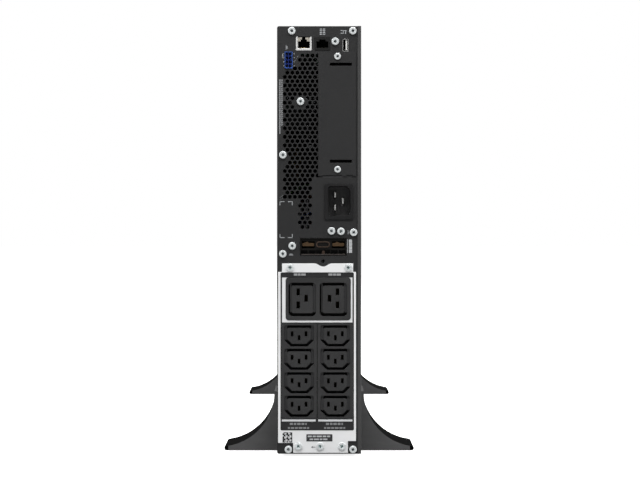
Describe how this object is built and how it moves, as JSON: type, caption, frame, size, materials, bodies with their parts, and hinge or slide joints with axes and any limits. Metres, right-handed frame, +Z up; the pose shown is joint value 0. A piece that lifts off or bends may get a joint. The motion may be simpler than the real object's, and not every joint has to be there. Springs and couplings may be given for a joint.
{
  "type": "rack and tower uninterruptible power supply",
  "caption": "Slim dark metal power supply case standing on edge on curved stands, with outlet panel, inlet, ports and vents behind, display and grille in front.",
  "frame": {"origin": "on the floor under the middle of the whole object's box", "axes": "+Z up as it stands on its stands, -Y out of the rear panel with the outlets, +Y out of the front with the display, +X to the right when facing the rear panel"},
  "size_m": [0.1976, 0.6374, 0.435],
  "materials": {
    "case_paint": "fine textured powder coat, dark grey",
    "cover_paint": "fine textured powder coat, a little lighter",
    "plate_paint": "smooth light grey paint",
    "label_film": "matt black printed film",
    "zinc_screw": "bright zinc plating",
    "black_screw": "black zinc",
    "socket_plastic": "moulded dark grey nylon",
    "inlet_plastic": "moulded black nylon",
    "contact_brass": "bright brass",
    "contact_copper": "oxidised copper",
    "plated_steel": "nickel plated",
    "jack_plastic": "black moulded plastic",
    "jack_insert_plastic": "warm grey moulded plastic",
    "blue_plastic": "blue moulded plastic",
    "connector_plastic": "black moulded plastic",
    "circuit_board": "green solder mask",
    "galvanised": "galvanised sheet",
    "stand_plastic": "dark grey moulded plastic",
    "pad_rubber": "black rubber",
    "fan_plastic": "black glass-filled plastic",
    "red_plastic": "red moulded plastic",
    "heatsink_aluminium": "extruded, as made",
    "winding_copper": "enamelled copper winding",
    "capacitor_sleeve": "shrink sleeve",
    "relay_plastic": "off-white moulded plastic",
    "wire_insulation": "PVC insulation, a colour to each wire",
    "ribbon_plastic": "grey ribbon cable",
    "battery_plastic": "dark grey ABS",
    "handle_plastic": "black moulded plastic",
    "display_plastic": "black moulded plastic",
    "display_glass": "dark display window",
    "key_plastic": "dark grey moulded plastic",
    "bezel_plastic": "black moulded plastic"
  },
  "bodies": {
    "chassis": {"case_tray": "case_paint", "rear_panel": "case_paint", "side_cover": "cover_paint", "outlet_plate": "plate_paint", "outlet_label": "label_film", "panel_screws": "zinc_screw", "plate_screws": "zinc_screw", "cover_screws": "black_screw", "outlet_strip_left": "socket_plastic", "outlet_strip_right": "socket_plastic", "large_outlets": "socket_plastic", "power_inlet": "inlet_plastic", "card_connector": "inlet_plastic", "socket_contacts": "contact_brass", "jack_contacts": "contact_brass", "battery_connector_contacts": "contact_copper", "inlet_pins": "plated_steel", "network_jack_shell": "plated_steel", "usb_port": "plated_steel", "serial_jack": "jack_plastic", "network_jack_insert": "jack_insert_plastic", "relay_terminal": "blue_plastic", "battery_connector": "connector_plastic", "output_board": "circuit_board", "comms_board": "circuit_board", "power_board": "circuit_board", "card_cage": "galvanised", "front_frame": "galvanised", "battery_bay_shelf": "galvanised", "stand_rear": "stand_plastic", "stand_front": "stand_plastic", "stand_pads": "pad_rubber", "fan_frames": "fan_plastic", "battery_bay_socket": "red_plastic", "heatsinks": "heatsink_aluminium", "inductors": "winding_copper", "capacitors": "capacitor_sleeve", "relays": "relay_plastic", "ac_wires": "wire_insulation", "dc_wires": "wire_insulation", "display_ribbon": "ribbon_plastic"},
    "slot_cover": {"slot_cover": "case_paint", "slot_cover_screws": "zinc_screw"},
    "battery_module": {"battery_tray": "galvanised", "battery_blocks": "battery_plastic", "battery_leads": "wire_insulation", "battery_plug": "red_plastic", "battery_thumbscrews": "zinc_screw", "battery_handle": "handle_plastic"},
    "fan_lower": {"fan_rotor_lower": "fan_plastic"},
    "fan_upper": {"fan_rotor_upper": "fan_plastic"},
    "display": {"display_housing": "display_plastic", "display_lens": "display_glass"},
    "power_button": {"power_button": "key_plastic"},
    "key_escape": {"key_escape": "key_plastic"},
    "key_up": {"key_up": "key_plastic"},
    "key_down": {"key_down": "key_plastic"},
    "key_enter": {"key_enter": "key_plastic"},
    "bezel": {"front_bezel": "bezel_plastic", "bezel_grille": "bezel_plastic"}
  },
  "joints": [
    {"name": "battery_slide", "type": "slide", "parent": "chassis", "child": "battery_module", "axis": [0, 1, 0], "range_m": [0, 0.46]},
    {"name": "bezel_pull", "type": "slide", "parent": "battery_module", "child": "bezel", "axis": [0, 1, 0], "range_m": [0, 0.08]},
    {"name": "slot_cover_pull", "type": "slide", "parent": "chassis", "child": "slot_cover", "axis": [0, -1, 0], "range_m": [0, 0.05]},
    {"name": "display_turn", "type": "hinge", "parent": "chassis", "child": "display", "pos_m": [0, 0.29415, 0.391], "axis": [0, 1, 0], "range_deg": [0, 90]},
    {"name": "fan_lower_spin", "type": "hinge", "parent": "chassis", "child": "fan_lower", "pos_m": [0, 0.26415, 0.2515], "axis": [0, 1, 0], "continuous": true},
    {"name": "fan_upper_spin", "type": "hinge", "parent": "chassis", "child": "fan_upper", "pos_m": [0, 0.26415, 0.3325], "axis": [0, 1, 0], "continuous": true},
    {"name": "power_press", "type": "slide", "parent": "display", "child": "power_button", "axis": [0, -1, 0], "range_m": [0, 0.0008], "stiffness_N_per_m": 500},
    {"name": "escape_press", "type": "slide", "parent": "display", "child": "key_escape", "axis": [0, -1, 0], "range_m": [0, 0.0008], "stiffness_N_per_m": 500},
    {"name": "up_press", "type": "slide", "parent": "display", "child": "key_up", "axis": [0, -1, 0], "range_m": [0, 0.0008], "stiffness_N_per_m": 500},
    {"name": "down_press", "type": "slide", "parent": "display", "child": "key_down", "axis": [0, -1, 0], "range_m": [0, 0.0008], "stiffness_N_per_m": 500},
    {"name": "enter_press", "type": "slide", "parent": "display", "child": "key_enter", "axis": [0, -1, 0], "range_m": [0, 0.0008], "stiffness_N_per_m": 500}
  ]
}
